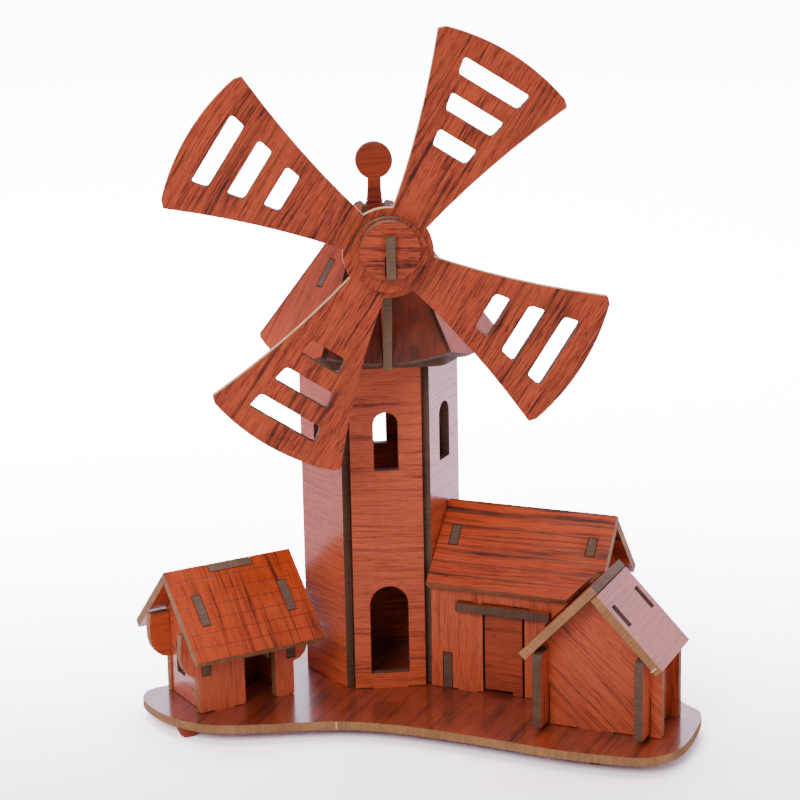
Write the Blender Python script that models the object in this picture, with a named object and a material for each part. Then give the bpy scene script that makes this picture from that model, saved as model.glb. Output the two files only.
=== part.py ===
"""Laser-cut wooden jigsaw model of a windmill farm.

Every piece is a flat 3 mm board with a printed rosewood face, and the boards
slot together: a six-sided tower under a petal cap with a turning sail wheel,
a cottage on the left, a barn on the right with a pivoting door, and a shed in
front of the barn.  Outlines are drawn in millimetres and turned into metres
when the mesh is made.  Heights are measured from the top of the base board.
"""

import bmesh
import bpy
import math
from mathutils import Matrix, Vector
from mathutils.geometry import tessellate_polygon

MM = 0.001
BOARD = 3.0            # thickness of every board
GAP = 0.3              # play between boards that meet
BASE_TOP = 7.0         # height of the base board's top above the table
TOWER_X = -6.96        # tower axis in the model's frame
TOWER_Y = 29.75

# Tower and cap
PANEL_APOTHEM = 24.5   # tower axis to a panel's outer face
PANEL_HALF = 12.23     # half the width of a tower panel
PANEL_TOP = 116.1
TAB_HALF = 6.1         # half the width of the panels' lower tabs
TOP_TAB_HALF = 4.0
FLOOR_LOW = 116.4      # underside of the cap's floor board
FLOOR_APOTHEM = 33.0
CAP_SLOPE = 56.5       # petal slope from the horizontal, degrees
CAP_APOTHEM = 35.9     # petal outer face at its lower corners
CAP_Z = 121.6
CAP_LENGTH = 53.5
CAP_HALF = 19.05       # half the petal width at its lower corners
CAP_TAPER = 0.3187     # loss of half width per mm up the petal
CAP_BULGE = 4.3        # how far the curved lower edge hangs down
FRONT_PETAL = {"apothem": 37.6, "half": 20.0, "bulge": 3.0, "length": 34.0, "rise": 0.6}
PETAL_SLOT = (22.4, 33.0)

# Sail wheel and hub
HUB_Z = 159.0
WHEEL_FACE_Y = -50.1
WHEEL_TURN = 32.9      # first blade, degrees clockwise from upright
WHEEL_RADIUS = 74.7
HUB_RADIUS = 14.75
HUB_HOLE = 7.5
DISC_PITCH = 3.3       # one disc and its play along the arm
ARM_LOW = 152.0
ARM_HIGH = 166.1
ARM_END_Y = -58.8

# Houses: corner on the base, bearing of the front wall in degrees
COTTAGE = ((-67.5, -40.3), 24.0)
BARN = ((13.8, -24.8), -28.0)
SHED = ((48.8, -65.1), -28.0)
COTTAGE_ROOF = {"depth": 14.0, "peak": 47.55, "slope": 44.2, "length": 35.4}
BARN_ROOF = {"depth": 17.4, "peak": 63.05, "slope": 48.9, "length": 32.5}
SHED_ROOF = {"depth": 17.2, "peak": 52.6, "slope": 46.0, "length": 35.5}
COTTAGE_DEPTH = 28.0
BARN_DEPTH = 34.8
SHED_DEPTH = 22.3
DOOR_AXIS = (32.5, 1.5)
PIVOT_HOLE = 2.25
RAIL_LOW = 29.4

# Colours, linear
ROSEWOOD = (0.46, 0.12, 0.055)
BRIGHT = (0.62, 0.14, 0.040)
ROOF_RED = (0.66, 0.13, 0.035)
DEEP = (0.36, 0.085, 0.045)
EDGE = (0.30, 0.17, 0.095)
GLOSS = 0.34


# Outline helpers ---------------------------------------------------------

def polar(radius, degrees):
    """Point at a radius and an angle."""
    angle = math.radians(degrees)
    return (radius * math.cos(angle), radius * math.sin(angle))


def arc(centre, radius, start, end, steps):
    """Points on a circular arc, both ends included."""
    span = (end - start) / steps
    points = [polar(radius, start + span * i) for i in range(steps + 1)]
    return [(centre[0] + x, centre[1] + y) for x, y in points]


def circle(centre, radius, steps):
    """Closed circle."""
    return arc(centre, radius, 0.0, 360.0, steps)[:-1]


def rect(x0, y0, x1, y1):
    """Rectangle from two corners."""
    return [(x0, y0), (x1, y0), (x1, y1), (x0, y1)]


def arch(x0, x1, y0, y1, steps=12):
    """Opening with a half-round head."""
    radius = (x1 - x0) / 2
    head = arc(((x0 + x1) / 2, y1 - radius), radius, 0.0, 180.0, steps)
    return [(x0, y0), (x1, y0)] + head


def rounded(points, radius, steps=4):
    """Polygon with each corner replaced by a small arc-like curve."""
    result = []
    count = len(points)
    for i in range(count):
        corner = Vector(points[i])
        before = (Vector(points[i - 1]) - corner).normalized() * radius
        after = (Vector(points[(i + 1) % count]) - corner).normalized() * radius
        for j in range(steps + 1):
            t = j / steps
            p = corner + before * (1 - t) ** 2 + after * t ** 2
            result.append((p.x, p.y))
    return result


def smooth(points, steps=5):
    """Closed Catmull-Rom curve through the points."""
    result = []
    count = len(points)
    for i in range(count):
        p0, p1, p2, p3 = (Vector(points[(i + k - 1) % count]) for k in range(4))
        for j in range(steps):
            t = j / steps
            bend = (p2 - p0) * t + (p0 * 2 - p1 * 5 + p2 * 4 - p3) * t ** 2
            twist = (p1 * 3 - p0 - p2 * 3 + p3) * t ** 3
            p = p1 + (bend + twist) / 2
            result.append((p.x, p.y))
    return result


def signed_area(points):
    """Positive when the outline runs anticlockwise."""
    total = 0.0
    for i, (x, y) in enumerate(points):
        x2, y2 = points[(i + 1) % len(points)]
        total += x * y2 - x2 * y
    return total / 2


# Building ----------------------------------------------------------------

def finish(name, colour):
    """Material of one board: printed face, lightly glossy."""
    material = bpy.data.materials.new(name)
    material.use_nodes = True
    shader = material.node_tree.nodes["Principled BSDF"]
    shader.inputs["Base Color"].default_value = (*colour, 1.0)
    shader.inputs["Roughness"].default_value = GLOSS
    shader.inputs["Metallic"].default_value = 0.0
    material.diffuse_color = (*colour, 1.0)
    return material


def frame(origin, along, up):
    """Placement with local x and y along two directions; origin in mm."""
    x = Vector(along).normalized()
    y = Vector(up).normalized()
    matrix = Matrix((x, y, x.cross(y))).transposed().to_4x4()
    matrix.translation = Vector(origin) * MM
    return matrix


def empty(name, location, degrees, parent):
    """Group of boards, turned about the vertical."""
    group = bpy.data.objects.new(name, None)
    bpy.context.collection.objects.link(group)
    group.parent = parent
    group.location = Vector(location) * MM
    group.rotation_euler = (0.0, 0.0, math.radians(degrees))
    return group


def board(name, outline, holes, place, parent, colour, face=0.0):
    """Flat board: outline and holes in local x, y; outer face at local z = face."""
    loops = [list(outline)] + [list(hole) for hole in holes]
    for i, loop in enumerate(loops):
        if (signed_area(loop) > 0) != (i == 0):
            loop.reverse()
    bm = bmesh.new()
    top = []
    low = []
    for loop in loops:
        top.append([bm.verts.new(Vector((x, y, face)) * MM) for x, y in loop])
        low.append([bm.verts.new(Vector((x, y, face - BOARD)) * MM) for x, y in loop])
    flat_top = sum(top, [])
    flat_low = sum(low, [])
    triangles = tessellate_polygon([[Vector((x, y, 0.0)) for x, y in loop] for loop in loops])
    for a, b, c in triangles:
        bm.faces.new((flat_top[a], flat_top[b], flat_top[c]))
        bm.faces.new((flat_low[c], flat_low[b], flat_low[a]))
    for upper, lower in zip(top, low):
        for i in range(len(upper)):
            j = (i + 1) % len(upper)
            bm.faces.new((upper[i], lower[i], lower[j], upper[j]))
    bmesh.ops.recalc_face_normals(bm, faces=bm.faces)
    mesh = bpy.data.meshes.new(name)
    bm.to_mesh(mesh)
    bm.free()
    mesh.materials.append(finish(name, colour))
    piece = bpy.data.objects.new(name, mesh)
    bpy.context.collection.objects.link(piece)
    piece.parent = parent
    location, rotation, _ = place.decompose()
    piece.location = location
    piece.rotation_euler = rotation.to_euler()
    return piece


def wall(name, outline, holes, back, parent, colour):
    """Upright board across a house; local x runs along the front, y is up."""
    place = frame((0.0, back, 0.0), (1, 0, 0), (0, 0, 1))
    return board(name, outline, holes, place, parent, colour)


def crosswall(name, outline, holes, right, parent, colour):
    """Upright board from front to back; local x is the depth, y is up."""
    place = frame((right, 0.0, 0.0), (0, 1, 0), (0, 0, 1))
    return board(name, outline, holes, place, parent, colour)


# Base --------------------------------------------------------------------

def turned(points, corner, degrees):
    """Points of a house's own frame in the base's frame."""
    angle = math.radians(degrees)
    c, s = math.cos(angle), math.sin(angle)
    return [(corner[0] + x * c - y * s, corner[1] + x * s + y * c) for x, y in points]


def grown(x0, y0, x1, y1):
    """Slot for a tab, with play on all sides."""
    return rect(x0 - GAP, y0 - GAP, x1 + GAP, y1 + GAP)


def base_slots():
    """Holes in the base: tower tabs, wall tabs and the door's pivot."""
    slots = []
    for k in range(6):
        tab = grown(-TAB_HALF, -PANEL_APOTHEM, TAB_HALF, BOARD - PANEL_APOTHEM)
        slots.append(turned(tab, (0.0, 0.0), 60.0 * k))
    tabs = (
        (COTTAGE, COTTAGE_TABS, (0.0, COTTAGE_DEPTH - BOARD)),
        (BARN, BARN_TABS, (0.0,)),
        (BARN, BARN_BACK_TABS, (BARN_DEPTH - BOARD,)),
        (SHED, SHED_TABS, (0.0, SHED_DEPTH - BOARD)),
    )
    for (corner, bearing), spans, fronts in tabs:
        for front in fronts:
            for x0, x1 in spans:
                slot = grown(x0, front, x1, front + BOARD)
                slots.append(turned(slot, corner, bearing))
    for x0 in SHED_SIDES:
        slot = grown(x0, SHED_SIDE_TAB[0], x0 + BOARD, SHED_SIDE_TAB[1])
        slots.append(turned(slot, *SHED))
    slots.append(turned(circle(DOOR_AXIS, PIVOT_HOLE, 24), *BARN))
    return slots


BASE_EDGE = (
    (-85.6, -20.0), (-84.4, -27.0), (-80.0, -36.0), (-72.5, -44.6), (-62.0, -50.2),
    (-47.0, -51.8), (-33.0, -52.0), (-19.9, -53.0), (-6.7, -56.7), (7.0, -62.9),
    (27.0, -74.2), (46.2, -86.1), (61.4, -93.4), (74.0, -97.6), (82.5, -96.2),
    (90.0, -89.2), (96.8, -76.0), (101.0, -62.5), (96.8, -52.0), (91.0, -30.0),
    (80.0, -14.0), (62.0, 2.0), (38.0, 18.0), (20.0, 30.0), (0.0, 33.5),
    (-20.0, 31.0), (-42.0, 17.0), (-60.0, 0.5), (-73.0, -9.5), (-82.6, -13.6),
)
COTTAGE_TABS = ((7.0, 14.0), (31.0, 35.5))
BARN_TABS = ((10.5, 17.5),)
BARN_BACK_TABS = ((12.0, 20.0), (42.0, 50.0))
SHED_TABS = ((10.5, 22.7),)
SHED_SIDES = (-2.6, 32.3)
SHED_SIDE_TAB = (7.0, 14.0)


def build_base(root):
    """Rounded base board and the four feet under it."""
    flat = frame((0.0, 0.0, 0.0), (1, 0, 0), (0, 1, 0))
    board("base_plate", smooth(BASE_EDGE), base_slots(), flat, root, DEEP)
    feet = (
        ("foot_front_left", (-70.4, -42.4), 12.0),
        ("foot_front_right", (61.0, -84.5), -28.0),
        ("foot_back_left", (-50.0, -3.0), 24.0),
        ("foot_back_right", (62.0, -9.0), -28.0),
    )
    half = 3.5
    low = -BASE_TOP
    high = -BOARD - GAP
    for name, (x, y), bearing in feet:
        group = empty(name + "_place", (x, y, 0.0), bearing, root)
        shape = [(-half, high), (-half, high - 1.0), (-2.8, -6.0), (-1.4, low)]
        shape += [(-px, py) for px, py in reversed(shape)]
        wall(name, shape, [], 0.0, group, EDGE)


# Tower -------------------------------------------------------------------

def build_tower(root):
    """Six upright panels; four have windows and the front one has a door."""
    windows = {0: "front", 1: "front_right", 3: "back", 5: "front_left"}
    names = ("front", "front_right", "back_right", "back", "back_left", "front_left")
    for k, side in enumerate(names):
        group = empty("tower_side_" + side, (0.0, 0.0, 0.0), 60.0 * k, root)
        outline = [
            (-PANEL_HALF, GAP), (-TAB_HALF, GAP), (-TAB_HALF, -BOARD),
            (TAB_HALF, -BOARD), (TAB_HALF, GAP), (PANEL_HALF, GAP),
            (PANEL_HALF, PANEL_TOP), (TOP_TAB_HALF, PANEL_TOP),
            (TOP_TAB_HALF, FLOOR_LOW + BOARD), (-TOP_TAB_HALF, FLOOR_LOW + BOARD),
            (-TOP_TAB_HALF, PANEL_TOP), (-PANEL_HALF, PANEL_TOP),
        ]
        holes = []
        if k in windows:
            sill = 75.0 if side == "back" else 78.5
            holes.append(arch(-4.2, 4.2, sill, sill + 20.3))
        if side == "front":
            holes.append(arch(-6.65, 6.65, 5.4, 37.0, 16))
        wall("tower_panel_" + side, outline, holes, -PANEL_APOTHEM, group, ROSEWOOD)


# Cap ---------------------------------------------------------------------

def petal_point(up, depth, outward=0.0):
    """(radius, height) on a petal, up its slope and below its outer face."""
    c = math.cos(math.radians(CAP_SLOPE))
    s = math.sin(math.radians(CAP_SLOPE))
    return (CAP_APOTHEM + outward - c * up - s * depth, CAP_Z + s * up - c * depth)


def petal_at(height, depth, outward=0.0):
    """Radius of a petal's surface, below its outer face, at a height."""
    up = (height - CAP_Z + math.cos(math.radians(CAP_SLOPE)) * depth)
    up /= math.sin(math.radians(CAP_SLOPE))
    return petal_point(up, depth, outward)[0]


def petal_outline(length, half=CAP_HALF, bulge=CAP_BULGE):
    """Tapering petal with a curved lower edge."""
    half_top = half - CAP_TAPER * length
    points = []
    steps = 16
    for i in range(steps + 1):
        x = half * (2 * i / steps - 1)
        points.append((x, -bulge * (1 - (x / half) ** 2)))
    return points + [(half_top, length), (-half_top, length)]


def slotted_petal():
    """Front petal: short, and open below for the centre board."""
    half = BOARD / 2 + GAP
    wide, bulge = FRONT_PETAL["half"], FRONT_PETAL["bulge"]
    outline = petal_outline(FRONT_PETAL["length"], wide, bulge)
    middle = [p for p in outline if p[0] > half]
    left = [p for p in outline if p[0] < -half]
    low = -bulge * (1 - (half / wide) ** 2)
    bottom_left = [p for p in left if p[1] < 1.0]
    top_left = [p for p in left if p[1] > 1.0]
    slot = [(-half, low), (-half, 30.0), (half, 30.0), (half, low)]
    return bottom_left + slot + middle + top_left


def build_cap(root):
    """Floor board, petals, half ribs, centre board and finial."""
    corners = [polar(FLOOR_APOTHEM / math.cos(math.radians(30.0)), 60.0 * k) for k in range(6)]
    tab = grown(-TOP_TAB_HALF, -PANEL_APOTHEM, TOP_TAB_HALF, BOARD - PANEL_APOTHEM)
    slots = [turned(tab, (0.0, 0.0), 60.0 * k) for k in range(6)]
    flat = frame((0.0, 0.0, FLOOR_LOW + BOARD), (1, 0, 0), (0, 1, 0))
    board("cap_floor", rounded(corners, 3.0), slots, flat, root, DEEP)

    c = math.cos(math.radians(CAP_SLOPE))
    s = math.sin(math.radians(CAP_SLOPE))
    slot = rect(-BOARD / 2 - GAP, PETAL_SLOT[0], BOARD / 2 + GAP, PETAL_SLOT[1])
    names = ("front", "front_right", "back_right", "back", "back_left", "front_left")
    for k, side in enumerate(names):
        group = empty("cap_side_" + side, (0.0, 0.0, 0.0), 60.0 * k, root)
        front = side == "front"
        apothem = FRONT_PETAL["apothem"] if front else CAP_APOTHEM
        rise = FRONT_PETAL["rise"] if front else 0.0
        place = frame((0.0, -apothem, CAP_Z + rise), (1, 0, 0), (0, c, s))
        outline = slotted_petal() if front else petal_outline(CAP_LENGTH)
        board("cap_petal_" + side, outline, [] if front else [slot], place, group, ROSEWOOD)
        if side not in ("front", "back"):
            board("cap_rib_" + side, rib_outline(), [], rib_place(), group, EDGE)

    place = frame((BOARD / 2, 0.0, 0.0), (0, 1, 0), (0, 0, 1))
    board("centre_plate", centre_outline(), [], place, root, EDGE)
    place = frame((0.0, -BOARD / 2, 0.0), (1, 0, 0), (0, 0, 1))
    board("finial", finial_outline(), [], place, root, BRIGHT)


def rib_place():
    """Radial board under a petal's centre line; local x points outwards."""
    return frame((-BOARD / 2, 0.0, 0.0), (0, -1, 0), (0, 0, 1))


def slope_edge(low, high, sign):
    """Edge under a petal from a height to a height, with its tab."""
    start, end = PETAL_SLOT[0] + GAP, PETAL_SLOT[1] - GAP
    inner = BOARD + GAP
    points = [(petal_at(low, inner), low), petal_point(start, inner), petal_point(start, 0.0)]
    points += [petal_point(end, 0.0), petal_point(end, inner), (petal_at(high, inner), high)]
    return [(sign * r, z) for r, z in points]


def rib_outline():
    """Half rib: stands on the cap's floor and carries one petal."""
    low = FLOOR_LOW + BOARD + GAP
    high = 157.0
    inner = 6.5
    return [(inner, low)] + slope_edge(low, high, 1.0) + [(inner, high)]


def centre_outline():
    """Centre board, in depth and height, with the arm that carries the sails."""
    low = FLOOR_LOW + BOARD + GAP
    back_top = 160.5
    lap = 154.7
    half = BOARD / 2 + GAP
    raised = FRONT_PETAL["rise"] / math.tan(math.radians(CAP_SLOPE))
    outward = FRONT_PETAL["apothem"] - CAP_APOTHEM + raised
    notch_low = petal_point(30.0, BOARD + GAP, outward)
    notch_front = petal_point(30.0, -GAP, outward)
    edge = FLOOR_APOTHEM + GAP
    disc_back = WHEEL_FACE_Y - DISC_PITCH
    disc_front = disc_back - DISC_PITCH - GAP
    return [
        (-edge, low), (-edge, 117.2), (-38.5, 117.2), (-43.4, ARM_LOW),
        (ARM_END_Y, ARM_LOW), (ARM_END_Y, ARM_HIGH), (disc_front, ARM_HIGH),
        (disc_front, HUB_Z), (disc_back, HUB_Z), (disc_back, ARM_HIGH), (-43.0, ARM_HIGH),
        (-37.0, back_top), (-petal_at(back_top, -GAP, outward), back_top),
        (-notch_front[0], notch_front[1]), (-notch_low[0], notch_low[1]),
        (-petal_at(back_top, BOARD + GAP, outward), back_top),
        (-half, back_top), (-half, lap), (half, lap), (half, back_top),
    ] + list(reversed(slope_edge(low, back_top, 1.0)))


def finial_outline():
    """Round finial on a flared stem, slotted over the centre board."""
    centre = 180.7
    radius = 6.3
    stem = 2.2
    half = BOARD / 2 + GAP
    spread = math.degrees(math.asin(stem / radius))
    head = arc((0.0, centre), radius, -90.0 + spread, 270.0 - spread, 32)
    right = [(half, 155.0), (half, 150.0), (5.0, 150.0), (5.0, 158.0), (3.0, 164.6)]
    right += [(2.5, 168.0), (stem, 171.5)]
    left = [(-x, z) for x, z in reversed(right)]
    return right + head + left


# Sails -------------------------------------------------------------------

def blade_half(reach):
    """Half width of a blade, which flares towards its tip."""
    past = reach - 13.4
    return 6.4 + 0.215 * past + 0.0019 * past * past


def wheel_outline():
    """Four flared blades round a hub disc; the first blade is along local y."""
    side = [(reach, blade_half(reach)) for reach in (13.29, 22.0, 31.0, 40.0, 49.0, 58.0, 67.0)]
    corner = math.degrees(math.asin(blade_half(69.5) / (WHEEL_RADIUS - 1.2)))
    side.append((69.3, blade_half(69.3)))
    side.append(polar(WHEEL_RADIUS - 0.9, corner - 0.4))
    tip = arc((0.0, 0.0), WHEEL_RADIUS, -corner + 2.0, corner - 2.0, 12)
    root = math.degrees(math.asin(6.4 / HUB_RADIUS))
    web = arc((0.0, 0.0), HUB_RADIUS, root, 90.0 - root, 8)[1:-1]
    blade = [(u, -v) for u, v in side] + tip + [(u, v) for u, v in reversed(side)] + web
    points = []
    for k in range(4):
        points += turned(blade, (0.0, 0.0), 90.0 * k)
    return points


def blade_slots():
    """Three round-cornered slots across each blade."""
    shapes = ((60.6, 66.2, 11.4, 12.5), (48.8, 54.5, 8.8, 10.0), (37.0, 42.6, 6.4, 7.3))
    slots = []
    for near, far, half_near, half_far in shapes:
        shape = [(near, -half_near), (far, -half_far), (far, half_far), (near, half_near)]
        for k in range(4):
            slots.append(turned(rounded(shape, 1.3, 3), (0.0, 0.0), 90.0 * k))
    return slots


def build_sails(root):
    """Sail wheel and the three discs that keep it on the arm."""
    turn = math.radians(WHEEL_TURN)
    upright = (math.sin(turn), 0.0, math.cos(turn))
    level = (math.cos(turn), 0.0, -math.sin(turn))
    place = frame((0.0, WHEEL_FACE_Y, HUB_Z), level, upright)
    holes = blade_slots() + [circle((0.0, 0.0), HUB_HOLE, 40)]
    board("sail_wheel", wheel_outline(), holes, place, root, BRIGHT)

    arm = rect(-BOARD / 2 - GAP, ARM_LOW - GAP - HUB_Z, BOARD / 2 + GAP, ARM_HIGH + GAP - HUB_Z)
    ring = circle((0.0, 0.0), 12.3, 48)
    ring_y = WHEEL_FACE_Y - DISC_PITCH
    place = frame((0.0, ring_y, HUB_Z), (1, 0, 0), (0, 0, 1))
    board("hub_ring_disc", ring, [arm], place, root, ROSEWOOD)
    place = frame((0.0, WHEEL_FACE_Y + DISC_PITCH, HUB_Z), (1, 0, 0), (0, 0, 1))
    board("hub_rear_disc", circle((0.0, 0.0), 12.0, 40), [arm], place, root, ROSEWOOD)

    half = BOARD / 2 + GAP
    radius = 9.75
    rise = 1.9
    gap = math.degrees(math.asin(half / radius))
    cap = arc((0.0, rise), radius, -90.0 + gap, 270.0 - gap, 40)
    cap += [(-half, GAP), (half, GAP)]
    place = frame((0.0, ring_y - DISC_PITCH, HUB_Z), (1, 0, 0), (0, 0, 1))
    board("hub_cap_disc", cap, [], place, root, BRIGHT)


# Roofs -------------------------------------------------------------------

def roof_axes(roof):
    """Cosine and sine of a roof's slope."""
    slope = math.radians(roof["slope"])
    return math.cos(slope), math.sin(slope)


def under_roof(roof, down, depth, side):
    """(depth, height) of a point down a slope and below its outer face."""
    c, s = roof_axes(roof)
    across = down * c - depth * s
    return (roof["depth"] + side * across, roof["peak"] - down * s - depth * c)


def ceiling(roof, across):
    """Height of the underside, with play, at a place across the roof."""
    c, s = roof_axes(roof)
    offset = abs(across - roof["depth"])
    return roof["peak"] - offset * s / c - (BOARD + GAP) / c


def lap_start(roof):
    """Where the covered panel starts, down from the peak, behind the other."""
    angle = math.radians(180.0 - 2.0 * roof["slope"])
    reach = BOARD + GAP + max(0.0, BOARD * math.cos(angle))
    return reach / math.sin(angle)


def front_roof(roof):
    """Placement of the front slope; local y runs up to the peak at zero."""
    c, s = roof_axes(roof)
    return frame((0.0, roof["depth"], roof["peak"]), (1, 0, 0), (0, c, s))


def back_roof(roof):
    """Placement of the back slope; local x runs to the left."""
    c, s = roof_axes(roof)
    return frame((0.0, roof["depth"], roof["peak"]), (-1, 0, 0), (0, -c, s))


def slit(x0, x1, near, far):
    """Slot through a roof panel, down from the peak, with play."""
    return rect(x0 - GAP, -far - GAP, x1 + GAP, -near + GAP)


def mirrored(points):
    """Outline seen from the other side."""
    return [(-x, y) for x, y in points]


def gable_top(roof, tab, limits):
    """Gable's upper edge from front to back, with a roof tab on each slope."""
    near, far = tab
    front, back = limits
    inner = BOARD + GAP
    points = [(front, ceiling(roof, front))]
    for down, depth in ((far, inner), (far, 0.0), (near, 0.0), (near, inner)):
        points.append(under_roof(roof, down, depth, -1))
    points.append((roof["depth"], ceiling(roof, roof["depth"])))
    for down, depth in ((near, inner), (near, 0.0), (far, 0.0), (far, inner)):
        points.append(under_roof(roof, down, depth, 1))
    points.append((back, ceiling(roof, back)))
    return points


# Cottage -----------------------------------------------------------------

COTTAGE_GABLES = (("left", 2.7, (10.8, 22.3)), ("right", 34.7, (11.3, 22.8)))
COTTAGE_TAB = (13.5, 18.0)      # height of the gables' tabs in the walls
COTTAGE_HOOK = 24.0             # where the gables hook over the walls


def cottage_wall(roof, doorway):
    """Front or back wall with rounded lobes under the eaves."""
    top = ceiling(roof, 0.0) - 0.1
    right = 37.2
    left = 1.3 if doorway else 2.2
    points = [(left, GAP)]
    tabs = list(COTTAGE_TABS)
    for x0, x1 in tabs[:1]:
        points += [(x0, GAP), (x0, -BOARD), (x1, -BOARD), (x1, GAP)]
    if doorway:
        opening = arch(18.5, 30.1, GAP, 25.0)
        points += [opening[0]] + list(reversed(opening[2:])) + [opening[1]]
    for x0, x1 in tabs[1:]:
        points += [(x0, GAP), (x0, -BOARD), (x1, -BOARD), (x1, GAP)]
    points += [(right, GAP), (right, 12.0), (39.6, 12.6), (41.6, 14.6), (42.8, 18.0)]
    points += [(43.1, 22.0), (42.8, top)]
    for _, x0, _ in reversed(COTTAGE_GABLES):
        lap = (x0 + BOARD + GAP, x0 - GAP)
        points += [(lap[0], top), (lap[0], COTTAGE_HOOK), (lap[1], COTTAGE_HOOK), (lap[1], top)]
    points += [(-4.5, top), (-5.0, 24.0), (-5.0, 20.6), (-4.2, 17.5), (-2.6, 15.0)]
    points += [(-0.6, 13.5), (left, 12.8)]
    holes = []
    for _, x0, _ in COTTAGE_GABLES:
        holes.append(grown(x0, COTTAGE_TAB[0], x0 + BOARD, COTTAGE_TAB[1]))
    return points, holes


def cottage_gable(roof, tab):
    """Gable between the walls, tabbed through walls and roof."""
    front = BOARD + GAP
    back = COTTAGE_DEPTH - BOARD - GAP
    low, high = COTTAGE_TAB
    hook = COTTAGE_HOOK + GAP
    reach = 0.1
    points = [(front, GAP), (front, low), (0.0, low), (0.0, high), (front, high)]
    points += [(front, hook), (reach, hook)]
    points += gable_top(roof, tab, (reach, COTTAGE_DEPTH - reach))
    points += [(COTTAGE_DEPTH - reach, hook), (back, hook), (back, high)]
    points += [(COTTAGE_DEPTH, high), (COTTAGE_DEPTH, low), (back, low), (back, GAP)]
    return points


def build_cottage(root):
    """Cottage: two lobed walls, two gables and a lapped roof."""
    (x, y), bearing = COTTAGE
    group = empty("cottage", (x, y, 0.0), bearing, root)
    roof = COTTAGE_ROOF
    outline, holes = cottage_wall(roof, True)
    wall("cottage_front_wall", outline, holes, 0.0, group, ROSEWOOD)
    outline, holes = cottage_wall(roof, False)
    wall("cottage_back_wall", outline, holes, COTTAGE_DEPTH - BOARD, group, ROSEWOOD)
    slots = []
    for side, x0, tab in COTTAGE_GABLES:
        window = arch(14.2, 20.7, 8.6, 21.2, 8)
        crosswall("cottage_gable_" + side, cottage_gable(roof, tab), [window],
                  x0 + BOARD, group, ROSEWOOD)
        slots.append(slit(x0, x0 + BOARD, *tab))
    left, right = -3.9, 43.8
    notch = (12.5, 28.5)
    lap = lap_start(roof)
    outline = [(left, -roof["length"]), (right, -roof["length"]), (right, 0.0)]
    outline += [(notch[1] + GAP, 0.0), (notch[1] + GAP, -lap), (notch[0] - GAP, -lap)]
    outline += [(notch[0] - GAP, 0.0), (left, 0.0)]
    board("cottage_roof_front", outline, slots, front_roof(roof), group, ROOF_RED)
    outline = [(left, -roof["length"]), (right, -roof["length"]), (right, -lap)]
    outline += [(notch[1], -lap), (notch[1], 0.0), (notch[0], 0.0), (notch[0], -lap)]
    outline.append((left, -lap))
    board("cottage_roof_back", mirrored(outline), [mirrored(h) for h in slots],
          back_roof(roof), group, ROOF_RED)


# Barn --------------------------------------------------------------------

BARN_LEFT = 0.65         # wall's left end, just clear of the tower
BARN_ROOF_LEFT = (0.35, 1.15)   # roof's left end at the eave and at the peak
BARN_GABLES = (("left", 5.0, (9.6, 16.8), BOARD + GAP), ("right", 54.0, (9.1, 15.7), 4.2))
BARN_TAB_TOP = 13.0
DOOR_SPAN = (19.5, 34.7)
SHED_PEAK_ALONG = 66.9  # shed's ridge, along the barn's front


def build_barn(root):
    """Barn: walls, gables, lapped roof, lintel board and pivoting door."""
    (x, y), bearing = BARN
    group = empty("barn", (x, y, 0.0), bearing, root)
    roof = BARN_ROOF
    top = ceiling(roof, 0.0) - 0.1
    slot_top = RAIL_LOW + BOARD + GAP
    gable_slot = (5.0 - GAP, 8.0 + GAP, BARN_TAB_TOP + GAP)
    lintel_end = 36.3
    outline = [
        (BARN_LEFT, GAP), (gable_slot[0], GAP), (gable_slot[0], gable_slot[2]),
        (gable_slot[1], gable_slot[2]), (gable_slot[1], GAP), (10.5, GAP),
        (10.5, -BOARD), (17.5, -BOARD), (17.5, GAP), (DOOR_SPAN[0], GAP),
        (DOOR_SPAN[0], slot_top), (lintel_end, slot_top), (lintel_end, RAIL_LOW - GAP),
        (DOOR_SPAN[1], RAIL_LOW - GAP), (DOOR_SPAN[1], GAP), (41.9, GAP),
        (41.9, shed_crest(41.9)), (shed_reach(top), top), (BARN_LEFT, top),
    ]
    tab = grown(11.0, RAIL_LOW, 16.0, RAIL_LOW + BOARD)
    wall("barn_front_wall", outline, [tab], 0.0, group, BRIGHT)

    back_right = 60.0
    outline = [(3.0, GAP)]
    for x0, x1 in BARN_BACK_TABS:
        outline += [(x0, GAP), (x0, -BOARD), (x1, -BOARD), (x1, GAP)]
    outline += [(back_right, GAP), (back_right, top), (3.0, top)]
    wall("barn_back_wall", outline, [], BARN_DEPTH - BOARD, group, ROSEWOOD)

    slots = []
    back = BARN_DEPTH - BOARD - GAP
    for side, x0, tab, front in BARN_GABLES:
        outline = [(front, GAP)] + gable_top(roof, tab, (front, back)) + [(back, GAP)]
        if side == "left":
            outline += [(0.0, GAP), (0.0, BARN_TAB_TOP), (front, BARN_TAB_TOP)]
            outline.remove((front, GAP))
        crosswall("barn_gable_" + side, outline, [], x0 + BOARD, group, ROSEWOOD)
        slots.append(slit(x0, x0 + BOARD, *tab))
    build_barn_roof(roof, slots, group)
    build_barn_door(group)


def build_barn_roof(roof, slots, group):
    """Front panel is cut to ride over the shed's left slope."""
    right = 62.0
    lap = lap_start(roof)
    cut = 20.4
    cut_top = barn_cut(cut)
    cut_low = barn_cut(roof["length"])
    eave, peak = BARN_ROOF_LEFT
    outline = [
        (eave, -roof["length"]), (cut_low, -roof["length"]), (cut_top, -cut),
        (right, -cut), (right, 0.0), (peak, 0.0),
    ]
    board("barn_roof_front", outline, slots, front_roof(roof), group, ROOF_RED)
    outline = rect(2.0, -roof["length"], right, -lap)
    board("barn_roof_back", mirrored(outline), [mirrored(h) for h in slots],
          back_roof(roof), group, ROOF_RED)


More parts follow.
